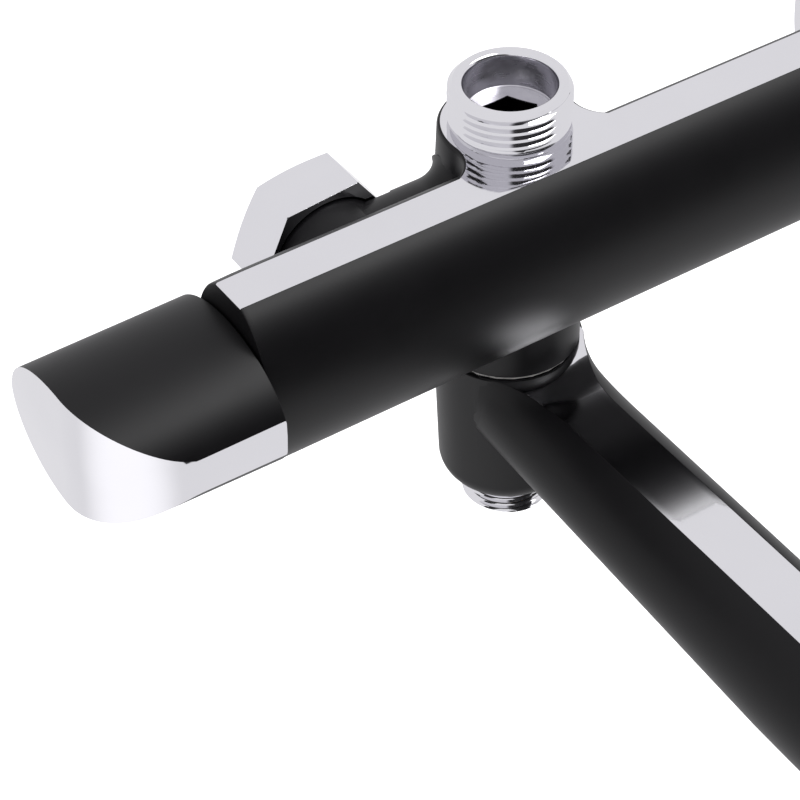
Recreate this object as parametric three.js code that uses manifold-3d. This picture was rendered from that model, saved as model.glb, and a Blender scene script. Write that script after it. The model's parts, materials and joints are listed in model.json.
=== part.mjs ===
// A wall mounted bath faucet in millimetres: +Z is up, +Y points at the wall, and the origin lies
// midway between the two inlets at the height of the bar's axis, on the union nuts' rear plane.
import * as THREE from "three";
import { mergeVertices } from "three/addons/utils/BufferGeometryUtils.js";
import Module from "manifold-3d";

const wasm = await Module();
wasm.setup();

// ---- Driving dimensions ----
const inletSpacing = 150;
const inletDrop = 1.1; // the inlets and the rear duct lie a little below the bar's axis
const bodyLength = 223.4;
const bodySetback = 35.2; // from the nuts' rear plane to the bar's axis
const barHalfDepth = 14.7; // the bar is an ellipse, taller than it is deep, cut flat on top
const barHalfHeight = 22;
const barUnderHeight = 23.2; // the lower half hangs a little deeper than the upper one rises
const barFlat = 20.8; // from the bar's axis up to the chrome flat
const riserX = -34.5;
const riserSetback = 20; // the riser, the rear duct and the spout's hub share this setback
const ductRadius = 12.2;
const bossRadius = 15.3;
const bossFillet = 7;
const nutAcrossFlats = 30;
const nutDepth = 13;
const inletNeckRadius = 13.2;
const bspThreeQuarter = 13.22; // outside radius of a G3/4 thread
const bspHalf = 10.48; // outside radius of a G1/2 thread
const threadPitch = 1.814; // 14 threads to the inch on both
const riserHeight = 10;
const riserKey = 12; // across the flats of the socket that screws the nipple in
const riserWall = 3.5;
const spoutNeckRadius = 16;
const spoutNeckBottom = -37.7;
const hubRadius = 16.7;
const hubBottom = -77.4;
const hubFootRadius = 15.8;
const hubRounding = 5.4;
const outletBottom = -85.7;
const spigotRadius = 11.4;
const spoutReach = 215;
const spoutFlat = -39.85;
const spoutHalfWidth = 15.1;
const spoutDrop = 26.8; // from the spout's flat down to its underside
const spoutRestTurn = 0.75; // degrees that the spout stands off square
const spoutTipRounding = 19;
const aeratorRadius = 12;
const aeratorFromTip = 22;
const cartridgeRadius = 12;
const flowBoreDepth = 45.7;
const thermoBoreDepth = 63.7;
const spindleRadius = 3.8;
const handleLength = 38.8;
const handleHalfThickness = 15; // at the joint; the handle thins a little to its end
const handleEndHalfThickness = 14.1;
const handleHalfWidth = 22;
const handleFlat = 20.9;
const handleSweep = 20.4; // radius of the chrome face where it turns round the end
const handleTuck = 0.9; // how far the handle's end falls back at its rear edge
const handleWall = 3.3;
const screwRadius = 2;

// ---- Clearances ----
const loose = 0.4; // between pieces that turn on each other
const seat = 0.3; // between pieces that are screwed or pressed together
const past = 1; // how far a cutter runs past the face that it opens

const FACETS = 24;
const chrome = { color: 0xd9dade, roughness: 0.06, metalness: 1 };
const lacquer = { color: 0x1d1d20, roughness: 0.38, metalness: 0 };
const brass = { color: 0xb79a55, roughness: 0.35, metalness: 1 };
const rubber = { color: 0x151515, roughness: 0.85, metalness: 0 };
const plastic = { color: 0xdedcd4, roughness: 0.5, metalness: 0 };

// ---- Geometry helpers ----
const X = new THREE.Vector3(1, 0, 0);
const Y = new THREE.Vector3(0, 1, 0);
const Z = new THREE.Vector3(0, 0, 1);

// A closed geometry as a solid that can be joined and cut.
function solid(geometry) {
  const bare = geometry.clone();
  bare.deleteAttribute("normal");
  bare.deleteAttribute("uv");
  const merged = mergeVertices(bare, 1e-4);
  const corners = merged.index.array;
  const kept = [];
  for (let i = 0; i < corners.length; i += 3) {
    const [a, b, c] = [corners[i], corners[i + 1], corners[i + 2]];
    if (a !== b && b !== c && c !== a) kept.push(a, b, c);
  }
  const vertProperties = new Float32Array(merged.attributes.position.array);
  const mesh = new wasm.Mesh({ numProp: 3, vertProperties, triVerts: new Uint32Array(kept) });
  return new wasm.Manifold(mesh);
}

// A solid as a geometry with flat shaded facets.
function geometryOf(made) {
  const mesh = made.getMesh();
  const geometry = new THREE.BufferGeometry();
  geometry.setAttribute("position", new THREE.BufferAttribute(mesh.vertProperties, 3));
  geometry.setIndex(new THREE.BufferAttribute(mesh.triVerts, 1));
  const flat = geometry.toNonIndexed();
  flat.computeVertexNormals();
  return flat;
}

function piece(name, made, look) {
  const mesh = new THREE.Mesh(geometryOf(made), new THREE.MeshStandardMaterial(look));
  mesh.name = name;
  return mesh;
}

function join(...solids) {
  return solids.reduce((whole, next) => whole.add(next));
}

function cut(whole, ...cutters) {
  return cutters.reduce((left, cutter) => left.subtract(cutter), whole);
}

// A turned solid about Z from [radius, height] points, up the outside and down the inside.
function turned(profile, facets = FACETS) {
  const points = profile.map(([r, h]) => new THREE.Vector2(r, h));
  if (profile[0][0] > 0) points.push(points[0].clone());
  return new THREE.LatheGeometry(points, facets).rotateX(Math.PI / 2);
}

// A rod about an axis of the frame, from one height to the other along it.
function rod(axis, radius, from, to, facets = FACETS) {
  const [low, high] = [Math.min(from, to), Math.max(from, to)];
  return solid(aimed(axis, turned([[0, low], [radius, low], [radius, high], [0, high]], facets)));
}

// Turns a geometry made about Z so that its Z lies along the axis.
function aimed(axis, geometry) {
  if (axis === X) return geometry.applyMatrix4(new THREE.Matrix4().makeBasis(Y, Z, X));
  if (axis === Y) return geometry.applyMatrix4(new THREE.Matrix4().makeBasis(Z, X, Y));
  return geometry;
}

// The same for a solid.
function aimedSolid(axis, made) {
  return solid(aimed(axis, geometryOf(made)));
}

// An outline in the (Y, Z) plane, extruded along X from one place to another.
function alongX(shape, from, to, curveSegments) {
  const options = { depth: to - from, bevelEnabled: false, curveSegments };
  const geometry = new THREE.ExtrudeGeometry(shape, options).translate(0, 0, from);
  return solid(aimed(X, geometry));
}

// An outline in the (X, Y) plane, extruded up from one height to another.
function alongZ(shape, from, to, curveSegments) {
  const options = { depth: to - from, bevelEnabled: false, curveSegments };
  return solid(new THREE.ExtrudeGeometry(shape, options).translate(0, 0, from));
}

// An ellipse whose top is cut off flat at the height given.
function flattedEllipse(halfWidth, halfHeight, flat, underHeight = halfHeight) {
  const corner = Math.asin(flat / halfHeight);
  const shape = new THREE.Shape();
  shape.absellipse(0, 0, halfWidth, halfHeight, Math.PI - corner, Math.PI, false);
  shape.absellipse(0, 0, halfWidth, underHeight, Math.PI, 2 * Math.PI, false);
  shape.absellipse(0, 0, halfWidth, halfHeight, 0, corner, false);
  shape.closePath();
  return shape;
}

function hexagon(acrossFlats, turn = 0) {
  const shape = new THREE.Shape();
  for (let i = 0; i < 6; i++) {
    const angle = turn + (i * Math.PI) / 3;
    const radius = acrossFlats / Math.sqrt(3);
    const [x, y] = [radius * Math.cos(angle), radius * Math.sin(angle)];
    if (i) shape.lineTo(x, y);
    else shape.moveTo(x, y);
  }
  shape.closePath();
  return shape;
}

// The [radius, height] points of a thread's crests and roots, from a height upwards.
function threadPoints(radius, from, turns) {
  const depth = 0.64 * threadPitch;
  const points = [];
  for (let i = 0; i < turns; i++) {
    const foot = from + i * threadPitch;
    points.push([radius - depth, foot]);
    points.push([radius, foot + 0.5 * threadPitch]);
  }
  points.push([radius - depth, from + turns * threadPitch]);
  return points;
}

// An O-ring about Z whose middle lies at a height.
function oRing(middleRadius, sectionRadius, height) {
  return solid(new THREE.TorusGeometry(middleRadius, sectionRadius, 6, FACETS).translate(0, 0, height));
}

// ---- Body casting ----
const bodyEnd = bodyLength / 2;
const neckMouth = nutDepth - 0.6; // setback of the inlet necks' ends, just inside the nuts' front recess
const neckWall = 2.7;
const shankRadius = inletNeckRadius - neckWall; // thread bore in an inlet neck
const shankDepth = 6.2;
const riserShank = bspThreeQuarter - 2.5;
const riserShankLength = 10.5;
const sealRecess = { radius: riserShank + 1.2, depth: 1.6 };
const inletBore = shankRadius - 2;
const stemShank = spigotRadius - 1.9;
const spigotBottom = hubBottom + 5.2;
const oRingHeights = [spigotBottom + 5, spoutNeckBottom - 7];
const oRingSection = 0.6;
const oRingGroove = { depth: 1.3, halfHeight: 0.9 };
const chamberStep = 1.3; // the flow chamber narrows by this beyond the cartridge's seat
const mixedWay = 6; // radius of the passage from the thermostat to the flow chamber
const crossHole = { radius: 3.5, aboveRing: 11 };
const hotWay = { bore: 3.8, cross: 3.3, bar: 2.8 }; // radii of the hot water's passages
hotWay.turn = riserX + 9.5; // where the hot bore turns forward out of the duct into the bar

function bossPlan() {
  // The boss's circle runs into the bar's flat through a concave fillet on each side.
  const edge = riserSetback - bodySetback + barHalfDepth * Math.sqrt(1 - (barFlat / barHalfHeight) ** 2);
  const filletY = edge + bossFillet;
  const filletX = Math.sqrt((bossRadius + bossFillet) ** 2 - filletY ** 2);
  const onBoss = Math.atan2(filletY, filletX);
  const shape = new THREE.Shape();
  shape.moveTo(-filletX, edge - past);
  shape.lineTo(filletX, edge - past);
  shape.lineTo(filletX, edge);
  shape.absarc(filletX, filletY, bossFillet, -Math.PI / 2, Math.PI + onBoss, true);
  shape.absarc(0, 0, bossRadius, onBoss, Math.PI - onBoss, false);
  shape.absarc(-filletX, filletY, bossFillet, -onBoss, -Math.PI / 2, true);
  shape.closePath();
  return shape;
}

// The rear duct from the hot inlet to the boss, cut back where the union nut turns on its neck.
function rearDuct(inletX) {
  const reach = nutAcrossFlats / Math.sqrt(3) + 2 * loose;
  const pocket = rod(Y, reach, -nutDepth - loose, 0).translate([inletX, 0, 0]);
  const duct = rod(X, ductRadius, inletX, riserX).translate([0, -riserSetback, 0]);
  return cut(duct, pocket).translate([0, 0, -inletDrop]);
}

function bodyCasting() {
  const halfSpacing = inletSpacing / 2;
  const section = flattedEllipse(barHalfDepth, barHalfHeight, barFlat, barUnderHeight);
  const bar = alongX(section, -bodyEnd, bodyEnd, 8).translate([0, -bodySetback, 0]);
  const duct = rearDuct(-halfSpacing);
  const necks = [-halfSpacing, halfSpacing].map((x) =>
    rod(Y, inletNeckRadius, -bodySetback, -neckMouth).translate([x, 0, -inletDrop]));
  const boss = alongZ(bossPlan(), -past, barFlat, 7).translate([riserX, -riserSetback, 0]);
  const grooves = oRingHeights.map((height) => {
    const [floor, low] = [spigotRadius - oRingGroove.depth, height - oRingGroove.halfHeight];
    const high = height + oRingGroove.halfHeight;
    return solid(turned([
      [floor, low], [spigotRadius + past, low], [spigotRadius + past, high], [floor, high],
    ]));
  });
  const neck = solid(turned([
    [0, spigotBottom], [spigotRadius, spigotBottom], [spigotRadius, spoutNeckBottom],
    [spoutNeckRadius, spoutNeckBottom], [spoutNeckRadius, 0], [0, 0],
  ]));
  const spoutNeck = cut(neck, ...grooves).translate([riserX, -riserSetback, 0]);
  return cut(join(bar, duct, ...necks, boss, spoutNeck), ...bodyBores());
}

// The bores of the casting: both valve chambers, the riser and spout ways, the inlets and the hot
// water's way, which runs along the duct, turns forward beside the riser and follows the bar's rear.
function bodyBores() {
  const halfSpacing = inletSpacing / 2;
  const flowEnd = -bodyEnd + flowBoreDepth;
  const thermoEnd = bodyEnd - thermoBoreDepth;
  const boreRadius = cartridgeRadius + seat;
  const ductSetback = bodySetback - boreRadius - hotWay.bore - 0.6;
  const barSetback = bodySetback - mixedWay - hotWay.bar - 0.6;
  const riserWay = hotWay.bore + 2.7;
  const inBar = (made) => made.translate([0, -bodySetback, 0]);
  const inRiser = (made) => made.translate([riserX, -riserSetback, 0]);
  const dropped = (made, x, y) => made.translate([x, y, -inletDrop]);
  return [
    inBar(rod(X, boreRadius, -bodyEnd - past, flowEnd)),
    inBar(rod(X, boreRadius - chamberStep, flowEnd - past, hotWay.turn - hotWay.cross - 2)),
    inBar(rod(X, mixedWay, riserX, thermoEnd + past)),
    inBar(rod(X, boreRadius, thermoEnd, bodyEnd + past)),
    inRiser(rod(Z, riserShank - 1.4, riserWay, barFlat)),
    inRiser(rod(Z, riserShank + seat, barFlat - riserShankLength - 0.5, barFlat + past)),
    inRiser(rod(Z, sealRecess.radius, barFlat - sealRecess.depth, barFlat + past)),
    inRiser(rod(Z, stemShank + seat, spigotBottom - past, -riserWay)),
    inRiser(rod(X, crossHole.radius, -spoutNeckRadius, spoutNeckRadius))
      .translate([0, 0, oRingHeights[0] + crossHole.aboveRing]),
    dropped(rod(Y, inletBore, -ductSetback - 2.5, -neckMouth), -halfSpacing, 0),
    dropped(rod(Y, inletBore, -bodySetback + 6, -neckMouth), halfSpacing, 0),
    ...[-halfSpacing, halfSpacing].map((x) =>
      dropped(rod(Y, shankRadius, -neckMouth - shankDepth, -neckMouth + past), x, 0)),
    dropped(rod(X, hotWay.bore, -halfSpacing, hotWay.turn + hotWay.bore), 0, -ductSetback),
    dropped(rod(Y, hotWay.cross, -barSetback - past, -ductSetback), hotWay.turn, 0),
    dropped(rod(X, hotWay.bar, hotWay.turn, thermoEnd + past), 0, -barSetback),
  ];
}

// ---- Inlets ----
const tailShank = { radius: shankRadius - seat, end: neckMouth + shankDepth - seat };
const nutPlate = { front: nutDepth - 1, rear: 9.5 }; // the nut's front plate, by setback
const nutRecess = inletNeckRadius + 0.65; // the neck ends in this shallow recess
const nutTurns = [-0.09, Math.PI / 6 - 0.09]; // radians that each nut's corners stand off level
const nutMouth = bspThreeQuarter - 1.17; // inside radius of the nut's G3/4 thread
const tailFlange = { radius: nutMouth - 0.45, thickness: 2 };
const tailBore = tailShank.radius - 2.6;

function unionNut(turn) {
  const chamfer = (nutAcrossFlats / Math.sqrt(3)) * 0.985;
  const crest = nutAcrossFlats / 2 - 0.3;
  const hex = solid(aimed(Y, new THREE.ExtrudeGeometry(
    hexagon(nutAcrossFlats, Math.PI / 2 + turn), { depth: nutDepth, bevelEnabled: false },
  ).translate(0, 0, -nutDepth)));
  const rounded = solid(aimed(Y, turned([
    [0, -nutDepth], [chamfer, -nutDepth], [chamfer + 0.5, -nutDepth + 0.5],
    [chamfer + 0.5, -1.8], [crest, 0], [0, 0],
  ])));
  const hollow = solid(aimed(Y, turned([
    [0, -nutDepth - past], [nutRecess, -nutDepth - past],
    [nutRecess, -nutPlate.front], [tailShank.radius + loose, -nutPlate.front],
    [tailShank.radius + loose, -nutPlate.rear], [nutMouth, -nutPlate.rear],
    [nutMouth, -1], [nutMouth + 1.2, past], [0, past],
  ])));
  return hex.intersect(rounded).subtract(hollow);
}

function inletTailpiece() {
  const flangeFront = -nutPlate.rear + seat;
  return solid(aimed(Y, turned([
    [tailBore, -tailShank.end], [tailShank.radius, -tailShank.end], [tailShank.radius, flangeFront],
    [tailFlange.radius, flangeFront], [tailFlange.radius, flangeFront + tailFlange.thickness],
    [tailBore, flangeFront + tailFlange.thickness],
  ])));
}

function checkValve() {
  // A plastic cartridge with a spring loaded disc on a stem, open through its side slots.
  const [front, rear] = [-tailShank.end + 0.5, -nutPlate.rear + 1.5];
  const [inside, outside] = [tailBore - 1.7, tailBore - seat];
  const shell = solid(turned([[inside, front], [outside, front], [outside, rear], [inside, rear]]));
  const stem = { radius: 1.3, disc: 3.4, discHeight: 1.2 };
  const rib = new THREE.BoxGeometry(inside + outside, 1.2, 1.4);
  const ribs = [0, 1].map((i) =>
    solid(rib.clone().rotateZ((i * Math.PI) / 2).translate(0, 0, front + 2)));
  const spider = join(
    rod(Z, stem.radius, front + 0.5, rear - 0.5),
    rod(Z, stem.disc, rear - 3, rear - 3 + stem.discHeight),
    ...ribs,
  );
  return aimedSolid(Y, shell.add(spider));
}

function filterWasher() {
  // A rubber ring with a strainer cross moulded into its bore.
  const [front, rear] = [-nutPlate.rear + 2.6, -nutPlate.rear + 4.6];
  const hole = tailBore + loose;
  const ring = solid(turned([
    [hole, front], [tailFlange.radius, front], [tailFlange.radius, rear], [hole, rear],
  ]));
  const bar = new THREE.BoxGeometry(2 * hole + 1, 0.8, 0.8);
  const bars = [0, 1, 2].map((i) =>
    solid(bar.clone().rotateZ((i * Math.PI) / 3).translate(0, 0, (front + rear) / 2)));
  return aimedSolid(Y, join(ring, ...bars));
}

// ---- Riser ----
function riserNipple() {
  const rim = barFlat + riserHeight;
  const foot = barFlat + seat;
  const low = barFlat - riserShankLength;
  const inside = bspThreeQuarter - riserWall;
  const chamfer = 1.2;
  const turns = Math.floor((riserHeight - chamfer - seat) / threadPitch - 0.5);
  const threadFoot = rim - chamfer - (turns + 0.5) * threadPitch;
  const outside = [
    [0, low], [riserShank, low], [riserShank, foot],
    [bspThreeQuarter - chamfer, foot], ...threadPoints(bspThreeQuarter, threadFoot, turns),
    [bspThreeQuarter, rim - chamfer], [bspThreeQuarter - 1, rim],
    [inside + 0.5, rim], [inside, rim - 0.7],
    [inside, barFlat + 1.5], [0, barFlat + 0.7],
  ];
  const key = alongZ(hexagon(riserKey), low - past, rim);
  return cut(solid(turned(outside)), key);
}

function riserSeal() {
  const section = 0.45;
  return oRing((riserShank + sealRecess.radius + 0.1) / 2, section, barFlat - sealRecess.depth / 2);
}

// ---- Valves: made pointing along +X from the joint face of the body, for the right end ----
const valveNeck = spindleRadius + 2.9;
const cartridgeFace = -7; // how deep the cartridge's shoulder lies in the body's end
const spindleHole = -22;
const splineDepth = 0.45;
const cartridgePort = { end: 4.2, side: 3.2 };

function cartridge(length) {
  const front = cartridgeFace;
  const shell = solid(turned([
    [0, front - length], [cartridgeRadius - 0.1, front - length], [cartridgeRadius - 0.1, front],
    [valveNeck, front], [valveNeck, -1.4], [spindleRadius + seat, -1.4],
    [spindleRadius + seat, spindleHole], [0, spindleHole],
  ]));
  const ports = [
    rod(Z, cartridgePort.end, front - length - past, front - length + 7),
    rod(X, cartridgePort.side, -cartridgeRadius - past, cartridgeRadius + past)
      .translate([0, 0, front - length + 12]),
  ];
  return aimedSolid(X, cut(shell, ...ports));
}

function cartridgeNut() {
  const hole = valveNeck + seat;
  const [low, high] = [cartridgeFace + seat, -0.6];
  const ring = solid(turned([[hole, low], [cartridgeRadius, low], [cartridgeRadius, high], [hole, high]]));
  const slot = new THREE.BoxGeometry(2 * cartridgeRadius + 2, 3, 2.4);
  const slots = [0, 1].map((i) =>
    solid(slot.clone().rotateZ((i * Math.PI) / 2).translate(0, 0, high)));
  return aimedSolid(X, cut(ring, ...slots));
}

function spindle() {
  // Round in the cartridge, splined where the handle grips it.
  const teeth = 20;
  const spline = new THREE.Shape();
  for (let i = 0; i < 2 * teeth; i++) {
    const radius = i % 2 ? spindleRadius - splineDepth : spindleRadius;
    const angle = (i * Math.PI) / teeth;
    const [x, y] = [radius * Math.cos(angle), radius * Math.sin(angle)];
    if (i) spline.lineTo(x, y);
    else spline.moveTo(x, y);
  }
  spline.closePath();
  const end = handleSocket.depth - 1;
  const splineLength = 13;
  return aimedSolid(X, join(
    rod(Z, spindleRadius - splineDepth, spindleHole + 0.5, end - splineLength + past),
    alongZ(spline, end - splineLength, end),
  ));
}

function stopRing() {
  // A toothed ring on the cartridge's neck, inside the handle, that sets the hottest setting.
  const [inner, outer] = [valveNeck + loose, valveNeck + 2.7];
  const hole = spindleRadius + 0.5;
  const [low, high] = [loose, 3];
  const ring = solid(turned([[inner, low], [outer, low], [outer, high], [inner, high]]));
  const stop = solid(new THREE.BoxGeometry(2.2, 2.4, 2).translate(outer + 0.4, 0, high - 1.1));
  const [under, over] = [low + 1, high - 0.6];
  const web = solid(turned([[hole, under], [inner + 0.3, under], [inner + 0.3, over], [hole, over]]));
  return aimedSolid(X, join(ring, stop, web));
}

// ---- Handles: the same frame as the valves, with the chrome face towards -Y ----
const hollowDepth = handleLength - handleSweep + 4;
const handleSocket = { depth: hollowDepth - 1.9, boss: spindleRadius + 2.6, bossFront: 3.4 };
const gripScrewX = 12;
const plugRadius = screwRadius + 1.2;
const plugFloor = handleHalfWidth - 4;

function handleShell() {
  const section = new THREE.Shape()
    .absellipse(0, 0, handleHalfWidth, handleHalfThickness, 0, 2 * Math.PI, false);
  const options = { depth: handleLength + past, bevelEnabled: false, curveSegments: 14, steps: 1 };
  const barrel = new THREE.ExtrudeGeometry(section, options);
  const places = barrel.attributes.position;
  const thinning = handleEndHalfThickness / handleHalfThickness - 1;
  for (let i = 0; i < places.count; i++) {
    const share = places.getZ(i) / handleLength;
    places.setY(i, places.getY(i) * (1 + thinning * share));
  }
  const plan = new THREE.Shape();
  plan.moveTo(0, -handleFlat);
  plan.lineTo(handleLength - handleSweep, -handleFlat);
  plan.absarc(
    handleLength - handleSweep, handleSweep - handleFlat, handleSweep, -Math.PI / 2, 0, false);
  plan.quadraticCurveTo(
    handleLength, handleHalfWidth / 2, handleLength - handleTuck, handleHalfWidth + past);
  plan.lineTo(0, handleHalfWidth + past);
  plan.closePath();
  const face = alongZ(plan, -handleHalfThickness - past, handleHalfThickness + past, 9);
  return solid(aimed(X, barrel)).intersect(face);
}

function handle() {
  const [halfWide, halfThick] = [handleFlat + 0.6 - handleWall, handleEndHalfThickness - handleWall];
  const hollowShape = new THREE.Shape().absellipse(0, 0, halfWide, halfThick, 0, 2 * Math.PI, false);
  const hollow = alongX(hollowShape, -past, hollowDepth, 10);
  const boss = rod(X, handleSocket.boss, handleSocket.bossFront, hollowDepth + past);
  const webLength = handleHalfWidth - handleSocket.boss;
  const web = solid(new THREE.BoxGeometry(11, webLength, 8)
    .translate(gripScrewX - 0.5, handleSocket.boss - 2 + webLength / 2, 0));
  const filled = cut(hollow, boss, web);
  return cut(
    handleShell(),
    filled,
    rod(X, spindleRadius + 0.2, -past, handleSocket.depth),
    rod(Y, screwRadius + 0.25, 0, handleHalfWidth + past).translate([gripScrewX, 0, 0]),
    rod(Y, plugRadius + 0.25, plugFloor, handleHalfWidth + past).translate([gripScrewX, 0, 0]),
  );
}

function handleScrew() {
  const [point, head] = [spindleRadius + 0.5, plugFloor - 1];
  const key = aimedSolid(Y, alongZ(hexagon(screwRadius), head - 2.5, head + past));
  const screw = solid(aimed(Y, turned([
    [0, point], [screwRadius - 0.8, point], [screwRadius, point + 1],
    [screwRadius, head], [0, head],
  ])));
  return cut(screw, key).translate([gripScrewX, 0, 0]);
}

function handlePlug() {
  return rod(Y, plugRadius, plugFloor + seat, handleHalfWidth - 0.25).translate([gripScrewX, 0, 0]);
}

// ---- Spout: made about the riser's axis, pointing towards -Y ----
const hubTop = spoutNeckBottom - loose;
const hubBore = spigotRadius + seat;
const hubFloor = spigotBottom - 0.5;
const collarRecess = { radius: stemShank + 2.7, depth: 1.7 };
const channel = { radius: 7, height: spoutFlat - spoutDrop / 2 - 0.4 };
const spoutGrowth = { reached: 0.625, width: [0.97, 1.08], height: [0.87, 1.13] }; // along the arm

function spoutArm() {
  // The section widens and deepens along the arm while its top stays flat and level.
  const grown = ([from, to], share) => from + (to - from) * Math.min(1, share / spoutGrowth.reached);
  const halfHeight = 0.52 * spoutDrop;
  const flat = spoutDrop - halfHeight;
  const shape = flattedEllipse(spoutHalfWidth, halfHeight, flat);
  const options = { depth: spoutReach, bevelEnabled: false, curveSegments: 14, steps: 8 };
  const arm = new THREE.ExtrudeGeometry(shape, options).translate(0, -flat, 0);
  const places = arm.attributes.position;
  for (let i = 0; i < places.count; i++) {
    const share = places.getZ(i) / spoutReach;
    places.setX(i, places.getX(i) * grown(spoutGrowth.width, share));
    places.setY(i, places.getY(i) * grown(spoutGrowth.height, share));
  }
  const side = new THREE.Shape();
  const low = spoutFlat - 2 * spoutDrop;
  side.moveTo(past, spoutFlat);
  side.lineTo(-spoutReach + spoutTipRounding, spoutFlat);
  const turnY = -spoutReach + spoutTipRounding;
  side.absarc(turnY, spoutFlat - spoutTipRounding, spoutTipRounding, Math.PI / 2, Math.PI, false);
  side.lineTo(-spoutReach, low);
  side.lineTo(past, low);
  side.closePath();
  const tip = alongX(side, -2 * spoutHalfWidth, 2 * spoutHalfWidth, 7);
  return solid(arm.rotateX(Math.PI / 2)).translate([0, 0, spoutFlat]).intersect(tip);
}

function hub() {
  const rounding = [];
  for (let i = 0; i <= 4; i++) {
    const angle = (-Math.PI / 2) * (1 - i / 4);
    const middle = hubFootRadius - hubRounding;
    rounding.push([
      middle + hubRounding * Math.cos(angle),
      hubBottom + hubRounding + hubRounding * Math.sin(angle),
    ]);
  }
  return solid(turned([
    [0, hubBottom], ...rounding,
    [hubRadius, hubTop], [0, hubTop],
  ]));
}

function spout() {
  const aeratorY = -spoutReach + aeratorFromTip;
  const recessTop = aeratorHousing.bottom + aeratorHousing.height + aeratorSealHeight + 1;
  return cut(
    join(spoutArm(), hub()),
    rod(Z, hubBore, hubFloor, hubTop + past),
    rod(Z, stemShank + seat, hubBottom - past, hubFloor + past),
    rod(Z, collarRecess.radius, hubBottom - past, hubBottom + collarRecess.depth),
    bearingGroove(),
    rod(Y, channel.radius, aeratorY, -hubBore + past).translate([0, 0, channel.height]),
    rod(Z, channel.radius, recessTop - past, channel.height).translate([0, aeratorY, 0]),
    rod(Z, aeratorRadius + seat, 2 * hubBottom, recessTop).translate([0, aeratorY, 0]),
  );
}

const bearing = { inner: hubBore + 0.7, outer: hubRadius - 1.2, recess: 1.3 };

function bearingGroove() {
  const [inner, outer] = [bearing.inner - 0.2, bearing.outer + 0.2];
  const [low, high] = [hubTop - bearing.recess, hubTop + past];
  return solid(turned([[inner, low], [outer, low], [outer, high], [inner, high]]));
}

function bearingRing() {
  const { inner, outer, recess } = bearing;
  const [low, high] = [hubTop - recess + 0.1, hubTop + 0.2];
  return solid(turned([[inner, low], [outer, low], [outer, high], [inner, high]]));
}

function outletStem() {
  // Screwed up into the spigot, its collar holding the spout's hub from below.
  const [bore, top] = [stemShank - 2.3, oRingHeights[0] + 6];
  const [low, high] = [hubBottom + 0.1, hubBottom + collarRecess.depth - seat];
  const collar = collarRecess.radius - seat;
  const turns = 3;
  const chamfer = 0.3;
  return solid(turned([
    [bore, outletBottom], [bspHalf - chamfer, outletBottom], [bspHalf, outletBottom + chamfer],
    ...threadPoints(bspHalf, outletBottom + chamfer + threadPitch / 2, turns),
    [bspHalf - 1.2, low], [collar, low], [collar, high], [stemShank, high],
    [stemShank, top], [bore, top],
  ]));
}

// ---- Aerator ----
const aeratorHousing = {
  height: 11, bottom: spoutFlat - spoutDrop * spoutGrowth.height[1] - 0.6, wall: 1.6,
};
const aeratorSealHeight = 2.4;

function aeratorShell() {
  const { height, bottom, wall } = aeratorHousing;
  const inside = aeratorRadius - wall;
  const lip = inside - 0.8;
  return solid(turned([
    [lip, bottom], [aeratorRadius - 0.6, bottom], [aeratorRadius, bottom + 0.8],
    [aeratorRadius, bottom + height], [inside, bottom + height],
    [inside, bottom + wall], [lip, bottom + wall],
  ]));
}

function aeratorInsert() {
  const { height, bottom, wall } = aeratorHousing;
  const disc = rod(Z, aeratorRadius - wall - seat, bottom + wall + seat, bottom + height - 1.2);
  const jets = [];
  const jet = rod(Z, 1.2, bottom, bottom + height, 6);
  for (let ring = 1; ring <= 2; ring++) {
    const radius = (0.3 * aeratorRadius) * ring;
    for (let i = 0; i < 6 * ring; i++) {
      const angle = (i * Math.PI) / (3 * ring);
      jets.push(jet.translate([radius * Math.cos(angle), radius * Math.sin(angle), 0]));
    }
  }
  return cut(disc, ...jets);
}

function aeratorSeal() {
  const low = aeratorHousing.bottom + aeratorHousing.height + seat;
  const high = low + aeratorSealHeight;
  const [inner, outer] = [channel.radius + 0.8, aeratorRadius - 0.4];
  return solid(turned([[inner, low], [outer, low], [outer, high], [inner, high]]));
}

// ---- Assembly ----
const faucet = new THREE.Group();
faucet.add(piece("body_casting", bodyCasting(), lacquer));

const riser = new THREE.Group();
riser.position.set(riserX, -riserSetback, 0);
riser.add(piece("riser_nipple", riserNipple(), chrome));
riser.add(piece("riser_nipple_seal", riserSeal(), rubber));
riser.add(piece("outlet_stem", outletStem(), chrome));
oRingHeights.forEach((height, i) => {
  const name = ["spout_lower_oring", "spout_upper_oring"][i];
  riser.add(piece(name, oRing(spigotRadius + 0.15 - oRingSection, oRingSection, height), rubber));
});
faucet.add(riser);

["left", "right"].forEach((side, i) => {
  const inlet = new THREE.Group();
  inlet.position.set((i - 0.5) * inletSpacing, 0, -inletDrop);
  inlet.add(piece(side + "_inlet_tailpiece", inletTailpiece(), brass));
  inlet.add(piece(side + "_check_valve", checkValve(), plastic));
  inlet.add(piece(side + "_filter_washer", filterWasher(), rubber));
  inlet.add(piece(side + "_union_nut", unionNut(nutTurns[i]), chrome));
  faucet.add(inlet);
});

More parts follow.
